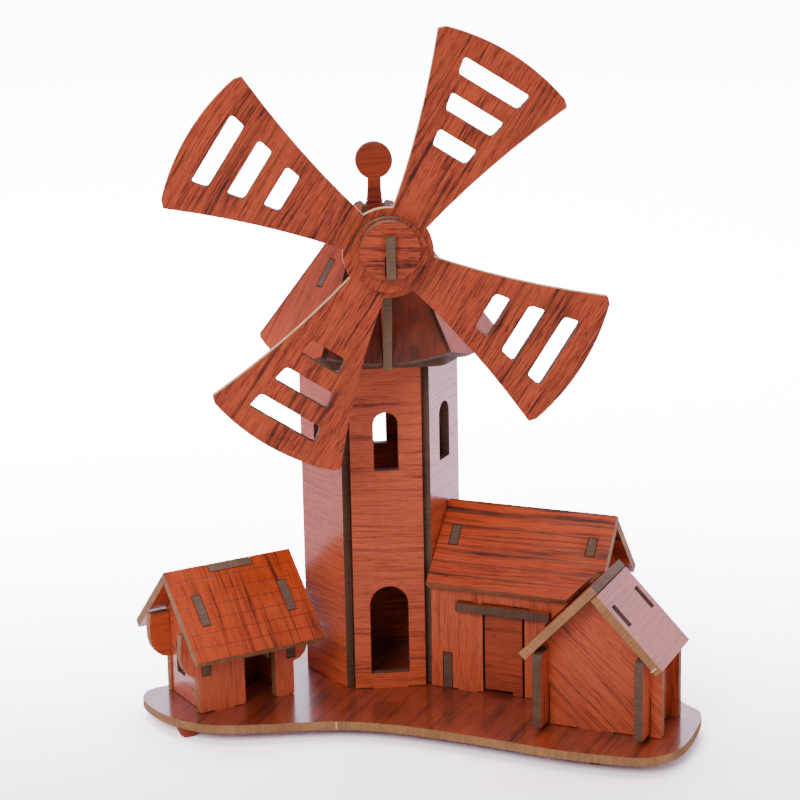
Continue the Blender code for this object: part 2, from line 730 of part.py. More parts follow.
def shed_reach(height):
    """Place along the barn where the shed's left slope, with play, is this high."""
    c, s = roof_axes(SHED_ROOF)
    return SHED_PEAK_ALONG - (SHED_ROOF["peak"] + 0.45 - height) * c / s


def shed_crest(along):
    """Height of the shed's left slope, with play, at a place along the barn."""
    c, s = roof_axes(SHED_ROOF)
    return SHED_ROOF["peak"] + 0.45 - (SHED_PEAK_ALONG - along) * s / c


def barn_cut(down):
    """Where the barn's front panel, at a place down its slope, meets the shed."""
    c, s = roof_axes(BARN_ROOF)
    return shed_reach(BARN_ROOF["peak"] - down * s - BOARD * c)


def build_barn_door(group):
    """Lintel board through the wall, and the leaf that pivots in it."""
    shelf = 2.3
    lintel = (20.0, 36.0)
    outline = [
        (9.8, -GAP), (9.8, -0.9), (10.3, -1.7), (11.4, -shelf), (44.2, -shelf),
        (44.2, -GAP), (lintel[1], -GAP), (lintel[1], 5.6), (lintel[0], 5.6),
        (lintel[0], -GAP), (16.0, -GAP), (16.0, BOARD), (11.0, BOARD), (11.0, -GAP),
    ]
    place = frame((0.0, 0.0, RAIL_LOW + BOARD), (1, 0, 0), (0, 1, 0))
    hole = circle(DOOR_AXIS, PIVOT_HOLE, 24)
    board("barn_rail", outline, [hole], place, group, EDGE)

    pin = 1.2
    left = DOOR_SPAN[0] + 0.8 - DOOR_AXIS[0]
    right = DOOR_SPAN[1] - 0.8 - DOOR_AXIS[0]
    raised = 1.6
    heel = -2.1
    leaf_top = RAIL_LOW - 0.7
    outline = [
        (left, raised), (heel, raised), (heel, GAP), (-pin, GAP), (-pin, -BOARD + 0.4),
        (pin, -BOARD + 0.4), (pin, GAP), (right, GAP), (right, leaf_top),
        (pin, leaf_top), (pin, RAIL_LOW + BOARD - 0.4), (-pin, RAIL_LOW + BOARD - 0.4),
        (-pin, leaf_top), (left, leaf_top),
    ]
    place = frame((*DOOR_AXIS, 0.0), (1, 0, 0), (0, 0, 1))
    board("barn_door", outline, [], place, group, ROSEWOOD, face=BOARD / 2)


# Shed --------------------------------------------------------------------

SHED_LEFT = -4.8
SHED_RIGHT = 39.3
SHED_SIDE_LIFT = 1.7    # side boards' front ends stand clear of the base
SHED_SLOTS = ((-5.2, 9.4, 18.0), (16.8, 10.4, 19.2))   # place and reach down the slope
SHED_LAP = 14.3         # where gable and side boards cross over
SHED_FRONT = -8.0
SHED_BACK = 23.0


def shed_gable(slotted):
    """Shed gable; the front one is slotted from below for the side boards."""
    roof = SHED_ROOF
    points = [(SHED_LEFT, GAP)]
    left, right = SHED_SIDES
    tab = SHED_TABS[0]
    spans = [(left, None), (tab[0], tab[1]), (right, None)]
    for x0, x1 in spans:
        if x1 is not None:
            points += [(x0, GAP), (x0, -BOARD), (x1, -BOARD), (x1, GAP)]
        elif slotted:
            near, far = x0 - GAP, x0 + BOARD + GAP
            points += [(near, GAP), (near, SHED_LAP), (far, SHED_LAP), (far, GAP)]
    points += [(SHED_RIGHT, GAP), (SHED_RIGHT, ceiling(roof, SHED_RIGHT))]
    points += [(roof["depth"], ceiling(roof, roof["depth"]))]
    points.append((SHED_LEFT, ceiling(roof, SHED_LEFT)))
    return points


def shed_side(x0):
    """Side board: notched over the front gable, rounded at its upper front."""
    roof = SHED_ROOF
    top = min(ceiling(roof, x0), ceiling(roof, x0 + BOARD)) - 0.1
    back = SHED_DEPTH - BOARD - GAP
    low, high = SHED_SIDE_TAB
    curve = [(SHED_FRONT + 2.6 - 2.6 * math.cos(math.radians(a)),
              top - 2.6 + 2.6 * math.sin(math.radians(a))) for a in (90, 60, 30, 0)]
    lift = SHED_SIDE_LIFT
    points = [(SHED_FRONT, lift), (-0.5, lift), (-0.5, GAP), (low, GAP)]
    points += [(low, -BOARD), (high, -BOARD), (high, GAP)]
    points += [(back, GAP), (back, 8.0), (SHED_DEPTH, 8.0), (SHED_DEPTH, 16.0), (back, 16.0)]
    points += [(back, top), (BOARD + GAP, top), (BOARD + GAP, SHED_LAP - GAP)]
    points += [(-GAP, SHED_LAP - GAP), (-GAP, top)]
    return points + curve


def build_shed(root):
    """Shed: two gables, two side boards and a lapped roof."""
    (x, y), bearing = SHED
    group = empty("shed", (x, y, 0.0), bearing, root)
    roof = SHED_ROOF
    wall("shed_gable_front", shed_gable(True), [], 0.0, group, BRIGHT)
    tabs = [grown(x0, 8.0, x0 + BOARD, 16.0) for x0 in SHED_SIDES]
    wall("shed_gable_back", shed_gable(False), tabs, SHED_DEPTH - BOARD, group, ROSEWOOD)
    for side, x0 in zip(("left", "right"), SHED_SIDES):
        crosswall("shed_side_" + side, shed_side(x0), [], x0 + BOARD, group, EDGE)

    c, s = roof_axes(roof)
    peak = (roof["depth"], 0.0, roof["peak"])
    lap = lap_start(roof)
    place = frame(peak, (0, -1, 0), (c, 0, s))
    outline = rect(-SHED_BACK, -roof["length"], -SHED_FRONT, 0.0)
    holes = [rect(x0, -far, x0 + BOARD, -near) for x0, near, far in SHED_SLOTS]
    board("shed_roof_left", outline, [mirrored(h) for h in holes], place, group, ROOF_RED)
    place = frame(peak, (0, 1, 0), (-c, 0, s))
    outline = rect(SHED_FRONT, -roof["length"], SHED_BACK, -lap)
    board("shed_roof_right", outline, holes, place, group, ROSEWOOD)


def main():
    for item in list(bpy.data.objects):
        bpy.data.objects.remove(item, do_unlink=True)
    root = empty("windmill_farm", (TOWER_X, TOWER_Y, BASE_TOP), 0.0, None)
    build_base(root)
    build_tower(root)
    build_cap(root)
    build_sails(root)
    build_cottage(root)
    build_barn(root)
    build_shed(root)


main()
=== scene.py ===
"""Wooden windmill farm: printed rosewood boards, laser-cut edges, scored roofs.

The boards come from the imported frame.  Each gets its own finish: a printed
grain that runs in that board's own direction on its faces, and a sawn, slightly
scorched board edge wherever the surface turns away from the face.
"""

import math

import bpy
import numpy as np
from mathutils import Matrix, Vector


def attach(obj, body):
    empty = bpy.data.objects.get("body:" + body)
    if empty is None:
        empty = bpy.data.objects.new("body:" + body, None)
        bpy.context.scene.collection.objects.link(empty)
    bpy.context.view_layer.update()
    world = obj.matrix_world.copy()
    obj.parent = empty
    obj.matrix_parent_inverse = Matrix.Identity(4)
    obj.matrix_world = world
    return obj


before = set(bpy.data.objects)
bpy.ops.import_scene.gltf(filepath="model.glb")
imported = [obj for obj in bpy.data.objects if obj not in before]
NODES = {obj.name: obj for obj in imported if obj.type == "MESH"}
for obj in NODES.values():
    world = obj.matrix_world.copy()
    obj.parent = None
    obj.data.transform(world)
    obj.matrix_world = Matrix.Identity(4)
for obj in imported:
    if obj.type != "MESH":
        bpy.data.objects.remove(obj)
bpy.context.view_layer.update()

# Directions and places, in the frame's metres ----------------------------

HUB = Vector((-0.00696, -0.02035, 0.166))
SAIL_TURN = math.radians(32.9)
SLOT_ASIDE = math.radians(13.0)     # the slots end within this angle of a blade's line
SLOT_REACH = 0.069
EAVE_TAB = Vector((0.07236, -0.06064, 0.03393))     # on the shed roof's front rim
COTTAGE_BEARING = 24.0
FARM_BEARING = -28.0
PETAL_SLOPE = 56.5
COTTAGE_SLOPE = 44.2
BARN_SLOPE = 48.9
SHED_SLOPE = 46.0
COTTAGE_PEAK = Vector((-0.08015, 0.00224, 0.05455))
BARN_PEAK = Vector((0.01501, 0.02031, 0.07005))
COTTAGE_ROWS = 5.06     # pitch of the cottage roof's score lines, mm
BARN_ROWS = 4.64
COTTAGE_SCORE = 0.28    # half width of a score line, mm
BARN_SCORE = 0.55
MM = 0.001
PER_METRE = 1000.0      # millimetres in a metre

UP = Vector((0.0, 0.0, 1.0))
SAIL_GRAIN = Vector((math.sin(SAIL_TURN), 0.0, math.cos(SAIL_TURN)))


def level(bearing):
    """Horizontal direction at a bearing from +X, degrees."""
    angle = math.radians(bearing)
    return Vector((math.cos(angle), math.sin(angle), 0.0))


def uphill(bearing, slope):
    """Direction up a slope whose foot faces away from the bearing."""
    angle = math.radians(slope)
    return level(bearing) * math.cos(angle) + UP * math.sin(angle)


def board_axes(node, grain):
    """Across, along and normal directions of a flat board.

    The normal is the direction that most of the board's area faces: the
    principal axis of the sum of area-weighted outer products of its normals.
    """
    mesh = node.data
    count = len(mesh.polygons)
    normals = np.empty(count * 3)
    areas = np.empty(count)
    mesh.polygons.foreach_get("normal", normals)
    mesh.polygons.foreach_get("area", areas)
    normals = normals.reshape(-1, 3)
    spread = (normals * areas[:, None]).T @ normals
    vectors = np.linalg.eigh(spread)[1]
    normal = Vector(vectors[:, -1]).normalized()
    along = (grain - normal * grain.dot(normal)).normalized()
    across = along.cross(normal).normalized()
    return across, along, normal


# Shader building blocks --------------------------------------------------

class Graph:
    """Short-hand for wiring nodes in one tree."""

    def __init__(self, tree):
        self.tree = tree
        self.row = 0

    def add(self, kind, **settings):
        node = self.tree.nodes.new(kind)
        node.location = (220 * (self.row % 9) - 1400, -260 * (self.row // 9))
        self.row += 1
        for key, value in settings.items():
            setattr(node, key, value)
        return node

    def put(self, socket, value):
        if isinstance(value, bpy.types.NodeSocket):
            self.tree.links.new(value, socket)
        else:
            socket.default_value = value

    def math(self, operation, a, b=0.0, clamp=False):
        node = self.add("ShaderNodeMath", operation=operation, use_clamp=clamp)
        self.put(node.inputs[0], a)
        self.put(node.inputs[1], b)
        return node.outputs[0]

    def scaled(self, vector, factors):
        node = self.add("ShaderNodeVectorMath", operation="MULTIPLY")
        self.put(node.inputs[0], vector)
        self.put(node.inputs[1], factors)
        return node.outputs[0]

    def moved(self, vector, offset):
        node = self.add("ShaderNodeVectorMath", operation="ADD")
        self.put(node.inputs[0], vector)
        self.put(node.inputs[1], offset)
        return node.outputs[0]

    def dot(self, vector, direction):
        node = self.add("ShaderNodeVectorMath", operation="DOT_PRODUCT")
        self.put(node.inputs[0], vector)
        self.put(node.inputs[1], direction)
        return node.outputs["Value"]

    def noise(self, vector, detail, rough=0.55):
        """Noise at a scale of one, so the vector carries the scale."""
        node = self.add("ShaderNodeTexNoise")
        self.put(node.inputs["Vector"], vector)
        self.put(node.inputs["Scale"], 1.0)
        self.put(node.inputs["Detail"], detail)
        self.put(node.inputs["Roughness"], rough)
        return node.outputs["Fac"]

    def span(self, value, low, high, to_low=0.0, to_high=1.0):
        """Value between two limits carried to two others, smoothly."""
        node = self.add("ShaderNodeMapRange", interpolation_type="SMOOTHSTEP")
        self.put(node.inputs["Value"], value)
        self.put(node.inputs["From Min"], low)
        self.put(node.inputs["From Max"], high)
        self.put(node.inputs["To Min"], to_low)
        self.put(node.inputs["To Max"], to_high)
        return node.outputs["Result"]

    def mix(self, amount, a, b, blend="MIX"):
        node = self.add("ShaderNodeMix", data_type="RGBA", blend_type=blend)
        self.put(node.inputs["Factor"], amount)
        self.put(node.inputs["A"], a)
        self.put(node.inputs["B"], b)
        return node.outputs["Result"]

    def blend(self, amount, a, b):
        node = self.add("ShaderNodeMix", data_type="FLOAT")
        self.put(node.inputs["Factor"], amount)
        self.put(node.inputs["A"], a)
        self.put(node.inputs["B"], b)
        return node.outputs["Result"]

    def split(self, vector):
        node = self.add("ShaderNodeSeparateXYZ")
        self.put(node.inputs[0], vector)
        return node.outputs

    def group(self, tree, **values):
        node = self.add("ShaderNodeGroup", node_tree=tree)
        for key, value in values.items():
            self.put(node.inputs[key.replace("_", " ")], value)
        return node.outputs


def new_material(name):
    """Material with its node graph and its Principled shader."""
    material = bpy.data.materials.new(name)
    material.use_nodes = True
    return material, Graph(material.node_tree), material.node_tree.nodes["Principled BSDF"]


def new_group(name, inputs, outputs):
    """Empty node group with named inputs and outputs, each with its socket type."""
    tree = bpy.data.node_groups.new(name, "ShaderNodeTree")
    for label, kind in inputs.items():
        tree.interface.new_socket(label, in_out="INPUT", socket_type=kind)
    for label, kind in outputs.items():
        tree.interface.new_socket(label, in_out="OUTPUT", socket_type=kind)
    graph = Graph(tree)
    source = graph.add("NodeGroupInput")
    sink = graph.add("NodeGroupOutput")
    return tree, graph, source.outputs, sink.inputs


# Tones of the cut edges
TAN = (0.42, 0.200, 0.085, 1)
GOLD = (0.33, 0.150, 0.058, 1)
OLIVE = (0.19, 0.115, 0.066, 1)
PALE = (0.66, 0.42, 0.22, 1)
SMOKE = (0.150, 0.080, 0.050, 1)
# darkest edge tone: the feet's edges, and painted shade on the sail wheel's slot walls
DARKEST_EDGE = (0.10, 0.050, 0.032, 1)
EDGE_SHADE = (0.165, 0.098, 0.075, 1)     # painted shade: cut edges that face up, and the walls of the shed roof's slots
CHAR = (0.42, 0.34, 0.30, 1)        # multiplies an edge's tone where it is scorched

# Light and dark tones of the print
SAIL = ((0.52, 0.072, 0.023, 1), (0.050, 0.008, 0.006, 1))
WARM = ((0.60, 0.100, 0.038, 1), (0.075, 0.013, 0.008, 1))
ROOF = ((0.50, 0.056, 0.013, 1), (0.036, 0.005, 0.003, 1))
RED = ((0.36, 0.052, 0.022, 1), (0.040, 0.008, 0.005, 1))
DUSK = ((0.26, 0.042, 0.021, 1), (0.034, 0.007, 0.005, 1))
# print tones darkened as painted shade, for the cap's front petal behind the sails
SHADED_PRINT = ((0.10, 0.018, 0.012, 1), (0.016, 0.004, 0.004, 1))
EMBER = (0.60, 0.10, 0.020, 1)      # warm patches in the print
GROOVE = (0.055, 0.018, 0.010, 1)   # burnt bottom of a score line

# Bare board under the print
CORE_LIGHT = (0.84, 0.70, 0.52, 1)
CORE_DARK = (0.62, 0.42, 0.25, 1)

FLOAT = "NodeSocketFloat"
VECTOR = "NodeSocketVector"
COLOUR = "NodeSocketColor"


def rosewood_group():
    """Printed rosewood: broad bands, wandering veins, fibres and pores.

    The vector is in millimetres: x across the grain, y along it.
    """
    tree, g, given, result = new_group(
        "Rosewood print",
        {"Vector": VECTOR, "Light": COLOUR, "Dark": COLOUR, "Veins": FLOAT,
         "Fibres": FLOAT, "Vein Scale": FLOAT},
        {"Color": COLOUR, "Roughness": FLOAT, "Height": FLOAT},
    )
    place = given["Vector"]
    drift = g.noise(g.scaled(place, (0.030, 0.007, 0.0)), 2.0)
    drift = g.math("MULTIPLY", g.math("SUBTRACT", drift, 0.5), 9.0)
    ripple = g.noise(g.scaled(place, (0.16, 0.030, 0.0)), 2.0)
    ripple = g.math("MULTIPLY", g.math("SUBTRACT", ripple, 0.5), 1.1)
    parts = g.split(place)
    across = g.math("ADD", g.math("ADD", parts[0], drift), ripple)
    warped = g.add("ShaderNodeCombineXYZ")
    g.put(warped.inputs[0], across)
    g.put(warped.inputs[1], parts[1])
    g.put(warped.inputs[2], parts[2])
    flow = warped.outputs[0]
    vein_field = g.scaled(flow, (0.46, 0.012, 0.0))
    veins = g.noise(g.scaled(vein_field, given["Vein Scale"]), 6.0, 0.68)
    veins = g.span(veins, 0.50, 0.68)
    lines = g.noise(g.scaled(flow, (1.15, 0.020, 0.0)), 4.0, 0.65)
    lines = g.span(lines, 0.54, 0.64)
    bands = g.noise(g.scaled(flow, (0.10, 0.006, 0.0)), 2.0)
    bands = g.span(bands, 0.3, 0.7)
    fibres = g.noise(g.scaled(flow, (2.2, 0.11, 0.0)), 3.0, 0.7)
    fibres = g.span(fibres, 0.42, 0.62)
    pores = g.noise(g.scaled(place, (2.6, 0.26, 0.0)), 2.0, 0.6)
    pores = g.span(pores, 0.55, 0.66)
    amount = g.math("MULTIPLY", veins, given["Veins"])
    shade = g.math("MULTIPLY", lines, g.math("MULTIPLY", given["Veins"], 0.75))
    amount = g.math("MAXIMUM", amount, shade)
    amount = g.math("ADD", amount, g.math("MULTIPLY", fibres, given["Fibres"]))
    amount = g.math("ADD", amount, g.math("MULTIPLY", pores, given["Fibres"]))
    amount = g.math("ADD", amount, g.math("MULTIPLY", bands, 0.20), clamp=True)
    colour = g.mix(amount, given["Light"], given["Dark"])
    mottle = g.noise(g.scaled(place, (0.09, 0.05, 0.0)), 3.0)
    colour = g.mix(g.span(mottle, 0.35, 0.75, 0.0, 0.28), colour, EMBER)
    g.put(result["Color"], colour)
    g.put(result["Roughness"], g.math("ADD", g.math("MULTIPLY", amount, 0.12), 0.30))
    depth = g.math("MULTIPLY", g.math("ADD", pores, g.math("MULTIPLY", fibres, 0.4)), -1.0)
    g.put(result["Height"], depth)
    return tree


def edge_group():
    """Laser-cut board edge: pressed fibre, scorched in fine bars across it.

    The vector is in millimetres with z through the board.
    """
    tree, g, given, result = new_group(
        "Board edge",
        {"Vector": VECTOR, "Tone": COLOUR},
        {"Color": COLOUR, "Roughness": FLOAT, "Height": FLOAT},
    )
    place = given["Vector"]
    bars = g.noise(g.scaled(place, (2.4, 2.4, 0.12)), 3.0, 0.6)
    bars = g.span(bars, 0.35, 0.7)
    specks = g.noise(g.scaled(place, (5.0, 5.0, 5.0)), 2.0)
    specks = g.span(specks, 0.35, 0.7)
    darkening = g.noise(g.scaled(place, (0.10, 0.10, 0.10)), 2.0)
    darkening = g.span(darkening, 0.35, 0.65)
    dark = g.mix(1.0, given["Tone"], CHAR, "MULTIPLY")
    amount = g.math("MULTIPLY", bars, 0.38)
    amount = g.math("ADD", amount, g.math("MULTIPLY", specks, 0.22))
    amount = g.math("ADD", amount, g.math("MULTIPLY", darkening, 0.28), clamp=True)
    g.put(result["Color"], g.mix(amount, given["Tone"], dark))
    g.put(result["Roughness"], g.math("ADD", g.math("MULTIPLY", specks, 0.12), 0.68))
    g.put(result["Height"], g.math("MULTIPLY", g.math("ADD", bars, specks), -1.0))
    return tree


def score_group():
    """Score lines across a board at an even pitch, a narrow V in the face."""
    tree, g, given, result = new_group(
        "Score lines",
        {"Position": FLOAT, "Pitch": FLOAT, "Width": FLOAT},
        {"Mask": FLOAT, "Height": FLOAT},
    )
    turn = g.math("DIVIDE", given["Position"], given["Pitch"])
    away = g.math("ABSOLUTE", g.math("SUBTRACT", g.math("FRACT", turn), 0.5))
    distance = g.math("MULTIPLY", g.math("SUBTRACT", 0.5, away), given["Pitch"])
    mask = g.math("SUBTRACT", 1.0, g.math("DIVIDE", distance, given["Width"]), clamp=True)
    g.put(result["Mask"], mask)
    g.put(result["Height"], g.math("MULTIPLY", mask, -1.0))
    return tree


ROSEWOOD = rosewood_group()
EDGE = edge_group()
SCORE = score_group()


# Board finishes ----------------------------------------------------------

def shelf_mask(g, texture):
    """Most of one where an edge faces up: these edges get painted shade."""
    return g.span(g.dot(texture.outputs["Normal"], UP), 0.15, 0.6, 0.0, 0.8)


def slot_mask(g, texture):
    """One inside the blades' slots: near a blade's middle line, short of its tip. The slot walls
    get painted shade.
    """
    spot = g.split(g.moved(texture.outputs["Object"], -HUB))
    angle = g.math("SUBTRACT", g.math("ARCTAN2", spot[0], spot[2]), SAIL_TURN)
    aside = g.math("PINGPONG", angle, math.pi / 4)
    reach = g.math("SQRT", g.math("ADD", g.math("MULTIPLY", spot[0], spot[0]),
                                  g.math("MULTIPLY", spot[2], spot[2])))
    inner = g.span(aside, SLOT_ASIDE, SLOT_ASIDE + 0.02, 1.0, 0.0)
    return g.math("MULTIPLY", inner, g.span(reach, SLOT_REACH, SLOT_REACH + MM, 1.0, 0.0))


def hole_mask(g, texture):
    """One behind the shed's front rim, so inside the slots of its roof, whose walls get painted
    shade.
    """
    spot = g.moved(texture.outputs["Object"], -EAVE_TAB)
    return g.span(g.dot(spot, level(FARM_BEARING + 90.0)), MM, 1.5 * MM)


SEED_SHIFT = (37.0, 91.0)   # millimetres of print skipped per unit of seed
BUMP_DEPTH = 0.12 * MM
BUMP_STRENGTH = 0.35
COAT_ROUGHNESS = 0.13
MOST_SPECULAR = 0.30        # a board with less lacquer than this is duller too


def print_place(g, texture, axes, seed):
    """Millimetres across, along and through a board, shifted by its seed."""
    mapping = g.add("ShaderNodeMapping")
    g.put(mapping.inputs["Vector"], texture.outputs["Object"])
    g.put(mapping.inputs["Rotation"], Matrix(axes).to_euler())
    place = g.scaled(mapping.outputs[0], (PER_METRE, PER_METRE, PER_METRE))
    return g.moved(place, (seed * SEED_SHIFT[0], seed * SEED_SHIFT[1], 0.0))


def finish(name, grain, tones, edge, seed, veins=0.62, vein_scale=1.0, score=None,
           lacquer=0.30, fibres=0.26, shaded_edges=shelf_mask):
    """Finish of one board.

    grain is the print's direction; score is (origin, direction, pitch, width)
    for a board whose faces are scored across that direction; lacquer is the
    weight of the clear coat; the last argument is the mask of the cut edges
    that get painted shade, a darker edge tone, by default those that face up.
    """
    material, g, shader = new_material(name + "_finish")
    texture = g.add("ShaderNodeTexCoord")
    axes = board_axes(NODES[name], grain)
    place = print_place(g, texture, axes, seed)
    wood = g.group(ROSEWOOD, Vector=place, Light=tones[0], Dark=tones[1],
                   Veins=veins, Vein_Scale=vein_scale, Fibres=fibres)
    # Edges under the mask get painted shade: a darker edge tone, darkest on the sail wheel's
    # slot walls.
    darkening = DARKEST_EDGE if shaded_edges is slot_mask else EDGE_SHADE
    rim = g.group(EDGE, Vector=place, Tone=g.mix(shaded_edges(g, texture), edge, darkening))
    facing = g.math("ABSOLUTE", g.dot(texture.outputs["Normal"], axes[2]))
    is_face = g.span(facing, 0.4, 0.6)
    colour = wood["Color"]
    height = g.math("MULTIPLY", wood["Height"], 0.25)
    gloss = is_face
    if score:
        origin, direction, pitch, width = score
        spot = g.moved(texture.outputs["Object"], -origin)
        lines = g.group(SCORE, Position=g.dot(spot, direction * PER_METRE),
                        Pitch=pitch, Width=width)
        colour = g.mix(g.math("MULTIPLY", lines["Mask"], 0.72), colour, GROOVE)
        height = g.math("ADD", height, g.math("MULTIPLY", lines["Height"], 1.6))
        gloss = g.math("SUBTRACT", gloss, lines["Mask"], clamp=True)
    g.put(shader.inputs["Base Color"], g.mix(is_face, rim["Color"], colour))
    g.put(shader.inputs["Roughness"], g.blend(is_face, rim["Roughness"], wood["Roughness"]))
    bump = g.add("ShaderNodeBump")
    g.put(bump.inputs["Height"], g.blend(is_face, rim["Height"], height))
    g.put(bump.inputs["Strength"], BUMP_STRENGTH)
    g.put(bump.inputs["Distance"], BUMP_DEPTH)
    g.put(shader.inputs["Normal"], bump.outputs[0])
    g.put(shader.inputs["Coat Weight"], g.math("MULTIPLY", gloss, lacquer))
    g.put(shader.inputs["Coat Roughness"], COAT_ROUGHNESS)
    g.put(shader.inputs["Specular IOR Level"], min(lacquer, MOST_SPECULAR))
    for slot in NODES[name].material_slots:
        slot.material = material


def dress_base():
    """Base board and its feet."""
    finish("base_plate", level(62.0), DUSK, TAN, 1.0, 0.9, 0.7, lacquer=1.0)
    for i, side in enumerate(("front_left", "front_right", "back_left", "back_right")):
        finish("foot_" + side, level(0.0), RED, DARKEST_EDGE, 2.0 + i)


def dress_mill():
    """Tower, cap and sails."""
    flat = level(0.0)
    sides = ("front", "front_right", "back_right", "back", "back_left", "front_left")
    for k, side in enumerate(sides):
        bearing = 60.0 * k
        lacquer = 0.10 if side == "front_left" else 0.30
        finish("tower_panel_" + side, level(bearing), WARM, SMOKE, 11.0 + 1.7 * k, 0.55,
               lacquer=lacquer)
        slope = uphill(bearing + 90.0, PETAL_SLOPE)
        # The front petal lies behind the sails and gets the darkest tones: painted shade.
        tones = SHADED_PRINT if side == "front" else SAIL
        finish("cap_petal_" + side, slope, tones, SMOKE, 21.0 + 1.3 * k, 0.6, lacquer=lacquer)
        if side not in ("front", "back"):
            finish("cap_rib_" + side, UP, RED, SMOKE, 31.0 + k)
    finish("cap_floor", flat, RED, SMOKE, 41.0)
    arm_grain = flat + UP * 0.1 + level(FARM_BEARING + 90.0)
    finish("centre_plate", arm_grain, RED, OLIVE, 42.0)
    finish("finial", flat, DUSK, SMOKE, 43.0, 0.8)
    # The walls of the wheel's slots get the darkest edge tone as painted shade.
    finish("sail_wheel", SAIL_GRAIN, SAIL, PALE, 51.0, 0.85, fibres=0.46, shaded_edges=slot_mask)
    finish("hub_ring_disc", SAIL_GRAIN, SAIL, SMOKE, 52.0, 0.7, fibres=0.46)
    finish("hub_rear_disc", flat, SAIL, SMOKE, 53.0)
    finish("hub_cap_disc", flat, SAIL, SMOKE, 54.0, 0.8, fibres=0.46)


def dress_cottage():
    """Cottage: the print runs down the scored slopes."""
    along, back = level(COTTAGE_BEARING), level(COTTAGE_BEARING + 90.0)
    slopes = {"front": uphill(COTTAGE_BEARING + 90.0, COTTAGE_SLOPE),
              "back": uphill(COTTAGE_BEARING - 90.0, COTTAGE_SLOPE)}
    for i, (side, slope) in enumerate(slopes.items()):
        finish("cottage_roof_" + side, slope, ROOF, GOLD, 61.0 + i, 0.8, 1.2,
               (COTTAGE_PEAK, slope, COTTAGE_ROWS, COTTAGE_SCORE))
    finish("cottage_front_wall", UP, WARM, GOLD, 63.0, 0.5)
    finish("cottage_back_wall", along, WARM, GOLD, 64.0, 0.6)
    finish("cottage_gable_left", back, WARM, SMOKE, 65.0, 0.5)
    finish("cottage_gable_right", back, WARM, SMOKE, 66.0, 0.5)


def dress_barn():
    """Barn: the print runs along the ridge, with score lines across the slopes."""
    along, back = level(FARM_BEARING), level(FARM_BEARING + 90.0)
    slopes = {"front": uphill(FARM_BEARING + 90.0, BARN_SLOPE),
              "back": uphill(FARM_BEARING - 90.0, BARN_SLOPE)}
    for i, (side, slope) in enumerate(slopes.items()):
        finish("barn_roof_" + side, along, ROOF, TAN, 71.0 + i, 0.95, 0.8,
               (BARN_PEAK, slope, BARN_ROWS, BARN_SCORE))
    finish("barn_front_wall", UP, WARM, SMOKE, 73.0, 0.45)
    finish("barn_back_wall", UP, WARM, SMOKE, 74.0, 0.5)
    finish("barn_gable_left", back, WARM, SMOKE, 75.0, 0.5)
    # The right gable's darker DUSK tones are painted shade where it shows in the gap under the
    # roof.
    finish("barn_gable_right", back, DUSK, SMOKE, 76.0, 0.5, lacquer=0.0)
    finish("barn_rail", along, RED, SMOKE, 77.0)
    finish("barn_door", along, RED, SMOKE, 78.0, 0.6)


def dress_shed():
    """Shed: the front gable's print runs down to the right."""
    along, back = level(FARM_BEARING), level(FARM_BEARING + 90.0)
    finish("shed_gable_front", along * 0.75 - UP * 0.66, WARM, GOLD, 81.0, 0.6)
    finish("shed_gable_back", UP, WARM, GOLD, 82.0, 0.6)
    finish("shed_side_left", UP, WARM, SMOKE, 83.0, 0.6)
    finish("shed_side_right", UP, WARM, SMOKE, 84.0, 0.6)
    # The walls of both shed roof boards' slots get painted shade.
    finish("shed_roof_left", back, ROOF, TAN, 85.0, 0.6, shaded_edges=hole_mask)
    finish("shed_roof_right", back, WARM, TAN, 86.0, 0.5, lacquer=1.0, shaded_edges=hole_mask)


# New pieces --------------------------------------------------------------

SEAT = 0.02 * MM        # distance of a chip's foot from the board's surface
HUB_CHIP = (0.55, 0.06)     # width and thickness, mm
STUB = (0.45, 0.05)
RIM_TAB = Vector((-0.0281, -0.02307, 0.0055))
RIM_NORMAL = Vector((-0.146, -0.989, 0.0))


def grid_quads(rows, columns):
    """Corner numbers of every quad in a grid of points."""
    index = np.arange(rows * columns).reshape(rows, columns)
    quads = np.stack((index[:-1, :-1], index[1:, :-1], index[1:, 1:], index[:-1, 1:]), -1)
    return quads.reshape(-1, 4)


def chip_surface(centre, along, across, out, length, width, depth):
    """Pillow-shaped chip.

    The height is the depth times one less the fourth power of the place along,
    times one less the fourth power of the place across, both from -1 to 1.
    """
    u = np.linspace(-1.0, 1.0, 17)
    v = np.linspace(-1.0, 1.0, 9)
    grid_u, grid_v = np.meshgrid(u, v, indexing="ij")
    rise = (1.0 - grid_u ** 4) * (1.0 - grid_v ** 4) * depth
    points = (np.array(centre)[None, None, :]
              + grid_u[..., None] * np.array(along) * length / 2
              + grid_v[..., None] * np.array(across) * width / 2
              + rise[..., None] * np.array(out))
    return points.reshape(-1, 3), grid_quads(len(u), len(v))


def chip(name, centre, along, across, size, body):
    """Pale chip at a board's surface; size is length, width, thickness in mm."""
    out = along.cross(across).normalized()
    length, width, depth = (value * MM for value in size)
    seat = centre + out * SEAT
    points, quads = chip_surface(seat, along, across, out, length, width, depth)
    mesh = bpy.data.meshes.new(name)
    mesh.from_pydata(points.tolist(), [], quads.tolist())
    piece = bpy.data.objects.new(name, mesh)
    bpy.context.collection.objects.link(piece)
    mesh.materials.append(chip_finish())
    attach(piece, body)


def hub_chip(name, angle, radius, length):
    """Chip along the hub ring's edge, just under the wheel's face."""
    turn = math.radians(angle)
    outward = Vector((math.sin(turn), 0.0, math.cos(turn)))
    tangent = Vector((math.cos(turn), 0.0, -math.sin(turn)))
    chip(name, HUB + outward * radius * MM, tangent, -outward, (length, *HUB_CHIP),
         "sails")


def tab_stub(name, centre, normal, upward, height):
    """Pale stub on a cut edge where a holding tab was snapped off the sheet."""
    across = upward.cross(normal).normalized()
    chip(name, centre, across, upward, (STUB[0], height, STUB[1]), "model")


